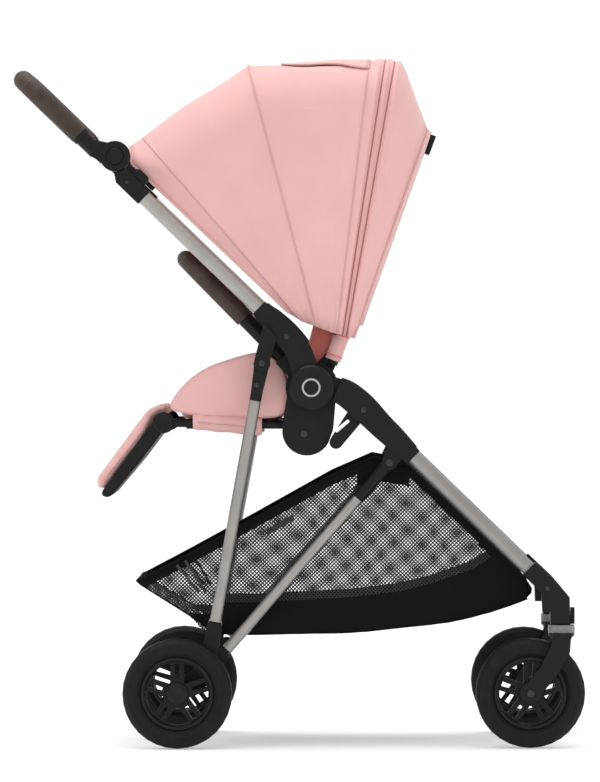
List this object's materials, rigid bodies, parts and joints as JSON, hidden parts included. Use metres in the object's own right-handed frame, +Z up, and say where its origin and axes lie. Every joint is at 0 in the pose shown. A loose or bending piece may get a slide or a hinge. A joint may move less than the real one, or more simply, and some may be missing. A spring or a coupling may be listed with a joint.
{
  "type": "baby stroller",
  "caption": "Folding baby stroller with a rear-facing padded seat, arched canopy, bumper bar, mesh basket, swivelling front casters and an adjustable grip bar",
  "frame": {"origin": "on the floor, under the middle of the bounding box", "axes": "+X towards the swivelling front wheels, +Y to the left, +Z up"},
  "size_m": [0.8614, 0.485, 1.0404],
  "materials": {
    "backrest_frame": "moulded matt black",
    "backrest_pad": "deep rose woven polyester",
    "basket": "black mesh and webbing",
    "brake_pedal": "moulded matt black",
    "buckle": "moulded matt black",
    "buckle_button": "moulded matt black",
    "bumper_bar": "moulded matt black",
    "bumper_grip": "stitched brown-black grip",
    "canopy_bow_front": "moulded matt black",
    "canopy_bow_mid": "moulded matt black",
    "canopy_cover": "pale pink woven polyester",
    "canopy_rear_panel": "pale pink woven polyester",
    "caster_housing_left": "moulded matt black",
    "caster_housing_right": "moulded matt black",
    "crotch_strap": "black mesh and webbing",
    "fold_trigger_left": "moulded matt black",
    "fold_trigger_right": "moulded matt black",
    "fork_left": "moulded matt black",
    "fork_right": "moulded matt black",
    "front_arm_left": "moulded matt black",
    "front_arm_right": "moulded matt black",
    "front_crossbar": "satin warm grey anodised",
    "front_rim_left": "moulded matt black",
    "front_rim_right": "moulded matt black",
    "front_tube_left": "satin warm grey anodised",
    "front_tube_right": "satin warm grey anodised",
    "front_tyre_left": "matt black foam rubber tread",
    "front_tyre_right": "matt black foam rubber tread",
    "handle_arm_left": "moulded matt black",
    "handle_arm_right": "moulded matt black",
    "handle_button_left": "moulded matt black",
    "handle_button_right": "moulded matt black",
    "handle_joint_left": "moulded matt black",
    "handle_joint_right": "moulded matt black",
    "handle_tube_left": "satin warm grey anodised",
    "handle_tube_right": "satin warm grey anodised",
    "handlebar_grip": "stitched brown-black grip",
    "handlebar_tube": "moulded matt black",
    "hub_cover_left": "moulded matt black",
    "hub_cover_right": "moulded matt black",
    "leg_rest": "pale pink woven polyester",
    "leg_sleeve_left": "moulded matt black",
    "leg_sleeve_right": "moulded matt black",
    "rear_axle": "matt black",
    "rear_leg_left": "satin warm grey anodised",
    "rear_leg_right": "satin warm grey anodised",
    "rear_rim_left": "moulded matt black",
    "rear_rim_right": "moulded matt black",
    "rear_tyre_left": "matt black foam rubber tread",
    "rear_tyre_right": "matt black foam rubber tread",
    "recline_lever": "moulded matt black",
    "seat_base": "moulded matt black",
    "seat_cushion": "pale pink woven polyester",
    "shoulder_harness": "black mesh and webbing",
    "strut_left": "satin warm grey anodised",
    "strut_right": "satin warm grey anodised",
    "strut_sleeve_left": "moulded matt black",
    "strut_sleeve_right": "moulded matt black",
    "swivel_lock_left": "moulded matt black",
    "swivel_lock_right": "moulded matt black"
  },
  "bodies": {
    "front_frame": {"front_arm_right": "front_arm_right", "hub_cover_right": "hub_cover_right", "front_tube_right": "front_tube_right", "caster_housing_right": "caster_housing_right", "front_arm_left": "front_arm_left", "hub_cover_left": "hub_cover_left", "front_tube_left": "front_tube_left", "caster_housing_left": "caster_housing_left", "front_crossbar": "front_crossbar", "basket": "basket"},
    "handle_frame": {"handle_arm_right": "handle_arm_right", "handle_tube_right": "handle_tube_right", "handle_joint_right": "handle_joint_right", "handle_arm_left": "handle_arm_left", "handle_tube_left": "handle_tube_left", "handle_joint_left": "handle_joint_left"},
    "rear_strut": {"strut_sleeve_right": "strut_sleeve_right", "strut_right": "strut_right", "strut_sleeve_left": "strut_sleeve_left", "strut_left": "strut_left", "rear_axle": "rear_axle"},
    "rear_leg": {"leg_sleeve_right": "leg_sleeve_right", "rear_leg_right": "rear_leg_right", "leg_sleeve_left": "leg_sleeve_left", "rear_leg_left": "rear_leg_left"},
    "handlebar": {"handlebar_tube": "handlebar_tube", "handlebar_grip": "handlebar_grip"},
    "handle_button_right": {"handle_button_right": "handle_button_right"},
    "fold_trigger_right": {"fold_trigger_right": "fold_trigger_right"},
    "rear_wheel_right": {"rear_tyre_right": "rear_tyre_right", "rear_rim_right": "rear_rim_right"},
    "caster_right": {"fork_right": "fork_right"},
    "front_wheel_right": {"front_tyre_right": "front_tyre_right", "front_rim_right": "front_rim_right"},
    "swivel_lock_right": {"swivel_lock_right": "swivel_lock_right"},
    "handle_button_left": {"handle_button_left": "handle_button_left"},
    "fold_trigger_left": {"fold_trigger_left": "fold_trigger_left"},
    "rear_wheel_left": {"rear_tyre_left": "rear_tyre_left", "rear_rim_left": "rear_rim_left"},
    "caster_left": {"fork_left": "fork_left"},
    "front_wheel_left": {"front_tyre_left": "front_tyre_left", "front_rim_left": "front_rim_left"},
    "swivel_lock_left": {"swivel_lock_left": "swivel_lock_left"},
    "brake_pedal": {"brake_pedal": "brake_pedal"},
    "seat": {"seat_base": "seat_base", "seat_cushion": "seat_cushion", "crotch_strap": "crotch_strap", "buckle": "buckle"},
    "buckle_button": {"buckle_button": "buckle_button"},
    "leg_rest": {"leg_rest": "leg_rest"},
    "bumper": {"bumper_bar": "bumper_bar", "bumper_grip": "bumper_grip"},
    "backrest": {"backrest_frame": "backrest_frame", "backrest_pad": "backrest_pad", "shoulder_harness": "shoulder_harness", "canopy_rear_panel": "canopy_rear_panel"},
    "recline_lever": {"recline_lever": "recline_lever"},
    "canopy_bow_front": {"canopy_bow_front": "canopy_bow_front"},
    "canopy_bow_mid": {"canopy_bow_mid": "canopy_bow_mid", "canopy_cover": "canopy_cover"}
  },
  "joints": [
    {"name": "frame_fold", "type": "hinge", "parent": "front_frame", "child": "handle_frame", "pos_m": [0.0188, 0, 0.5414], "axis": [0, -1, 0], "range_deg": [0, 120]},
    {"name": "strut_fold", "type": "hinge", "parent": "front_frame", "child": "rear_strut", "pos_m": [0.1362, 0, 0.4287], "axis": [0, -1, 0], "range_deg": [0, 46.54]},
    {"name": "rear_leg_fold", "type": "hinge", "parent": "handle_frame", "child": "rear_leg", "pos_m": [-0.0552, 0, 0.5778], "axis": [0, -1, 0], "range_deg": [-90.98, 0]},
    {"name": "handlebar_tilt", "type": "hinge", "parent": "handle_frame", "child": "handlebar", "pos_m": [-0.27611, 0, 0.88921], "axis": [0, -1, 0], "range_deg": [-40, 40]},
    {"name": "handle_button_press_right", "type": "slide", "parent": "handlebar", "child": "handle_button_right", "axis": [0, 1, 0], "range_m": [0, 0.004], "stiffness_N_per_m": 400, "springref_m": -0.0005},
    {"name": "fold_trigger_pull_right", "type": "slide", "parent": "handle_frame", "child": "fold_trigger_right", "axis": [-0.7193, 0, 0.6947], "range_m": [0, 0.008], "stiffness_N_per_m": 400, "springref_m": -0.0005},
    {"name": "rear_wheel_spin_right", "type": "hinge", "parent": "rear_strut", "child": "rear_wheel_right", "pos_m": [-0.1821, -0.2255, 0.0825], "axis": [0, 1, 0], "continuous": true},
    {"name": "caster_swivel_right", "type": "hinge", "parent": "front_frame", "child": "caster_right", "pos_m": [0.395, -0.2, 0.18], "axis": [0, 0, 1], "continuous": true},
    {"name": "front_wheel_spin_right", "type": "hinge", "parent": "caster_right", "child": "front_wheel_right", "pos_m": [0.3482, -0.2, 0.0825], "axis": [0, 1, 0], "continuous": true},
    {"name": "swivel_lock_slide_right", "type": "slide", "parent": "front_frame", "child": "swivel_lock_right", "axis": [0, 0, 1], "range_m": [0, 0.006]},
    {"name": "handle_button_press_left", "type": "slide", "parent": "handlebar", "child": "handle_button_left", "axis": [0, -1, 0], "range_m": [0, 0.004], "stiffness_N_per_m": 400, "springref_m": -0.0005},
    {"name": "fold_trigger_pull_left", "type": "slide", "parent": "handle_frame", "child": "fold_trigger_left", "axis": [-0.7193, 0, 0.6947], "range_m": [0, 0.008], "stiffness_N_per_m": 400, "springref_m": -0.0005},
    {"name": "rear_wheel_spin_left", "type": "hinge", "parent": "rear_strut", "child": "rear_wheel_left", "pos_m": [-0.1821, 0.2255, 0.0825], "axis": [0, 1, 0], "continuous": true},
    {"name": "caster_swivel_left", "type": "hinge", "parent": "front_frame", "child": "caster_left", "pos_m": [0.395, 0.2, 0.18], "axis": [0, 0, 1], "continuous": true},
    {"name": "front_wheel_spin_left", "type": "hinge", "parent": "caster_left", "child": "front_wheel_left", "pos_m": [0.3482, 0.2, 0.0825], "axis": [0, 1, 0], "continuous": true},
    {"name": "swivel_lock_slide_left", "type": "slide", "parent": "front_frame", "child": "swivel_lock_left", "axis": [0, 0, 1], "range_m": [0, 0.006]},
    {"name": "brake_pedal_press", "type": "hinge", "parent": "rear_strut", "child": "brake_pedal", "pos_m": [-0.1395, -0.12, 0.1109], "axis": [0, -1, 0], "range_deg": [0, 18]},
    {"name": "seat_lift", "type": "slide", "parent": "front_frame", "child": "seat", "axis": [0, 0, 1], "range_m": [0, 0.12]},
    {"name": "buckle_press", "type": "slide", "parent": "seat", "child": "buckle_button", "axis": [0, 0, -1], "range_m": [0, 0.002], "stiffness_N_per_m": 400, "springref_m": -0.0005},
    {"name": "leg_rest_tilt", "type": "hinge", "parent": "seat", "child": "leg_rest", "pos_m": [-0.2043, 0, 0.4881], "axis": [0, -1, 0], "range_deg": [-50, 10]},
    {"name": "bumper_pull_out", "type": "slide", "parent": "seat", "child": "bumper", "axis": [-0.7009, 0, 0.7133], "range_m": [0, 0.035]},
    {"name": "backrest_recline", "type": "hinge", "parent": "seat", "child": "backrest", "pos_m": [0.0188, 0, 0.5414], "axis": [0, 1, 0], "range_deg": [0, 40]},
    {"name": "recline_lever_pull", "type": "slide", "parent": "backrest", "child": "recline_lever", "axis": [0.3486, 0, 0.9373], "range_m": [0, 0.01], "stiffness_N_per_m": 300, "springref_m": -0.001},
    {"name": "canopy_open", "type": "hinge", "parent": "backrest", "child": "canopy_bow_front", "pos_m": [0.0424, 0, 0.6355], "axis": [0, 1, 0], "range_deg": [0, 48], "deforming": ["canopy_cover"]},
    {"name": "canopy_mid_fold", "type": "hinge", "parent": "backrest", "child": "canopy_bow_mid", "pos_m": [0.0424, 0, 0.6355], "axis": [0, 1, 0], "range_deg": [0, 24.1]}
  ],
  "couplings": [
    {"joint": "strut_fold", "follows": "frame_fold", "ratio": 0.38777},
    {"joint": "rear_leg_fold", "follows": "frame_fold", "ratio": -0.75804},
    {"joint": "canopy_mid_fold", "follows": "canopy_open", "ratio": 0.5}
  ]
}
